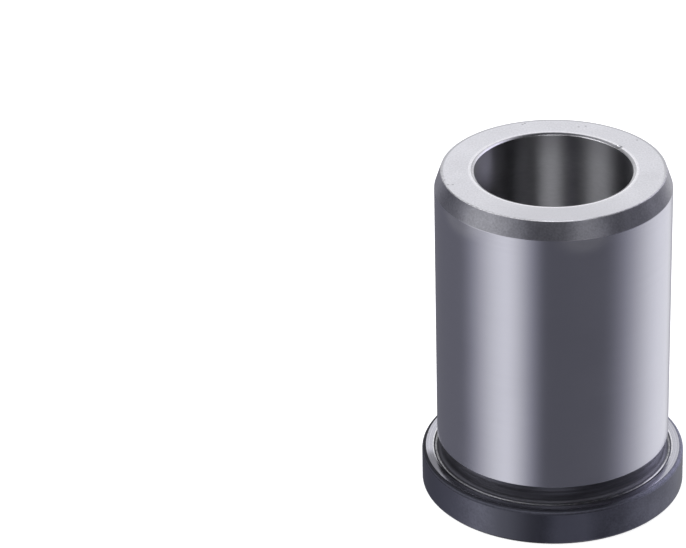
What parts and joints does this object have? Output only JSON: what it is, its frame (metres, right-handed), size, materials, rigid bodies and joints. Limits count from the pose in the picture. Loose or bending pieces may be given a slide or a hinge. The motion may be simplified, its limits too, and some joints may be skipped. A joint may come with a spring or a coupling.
{
  "type": "headed press-fit drill bushing",
  "caption": "Headed press-fit drill bushing: a ground barrel with a lead taper and a flat head, which guides a drill through its bore in a jig plate.",
  "frame": {"origin": "centre of the head's outer face, which the bushing stands on", "axes": "+Z along the bore, from the head, where the drill goes in, to the small end; X and Y are alike"},
  "size_m": [0.034, 0.034, 0.045],
  "materials": {
    "ground_steel": "hardened tool steel: barrel, bore and end face ground, taper, relief and head rim left darker from the furnace"
  },
  "bodies": {
    "root": {"drill_bushing": "ground_steel"}
  },
  "joints": []
}
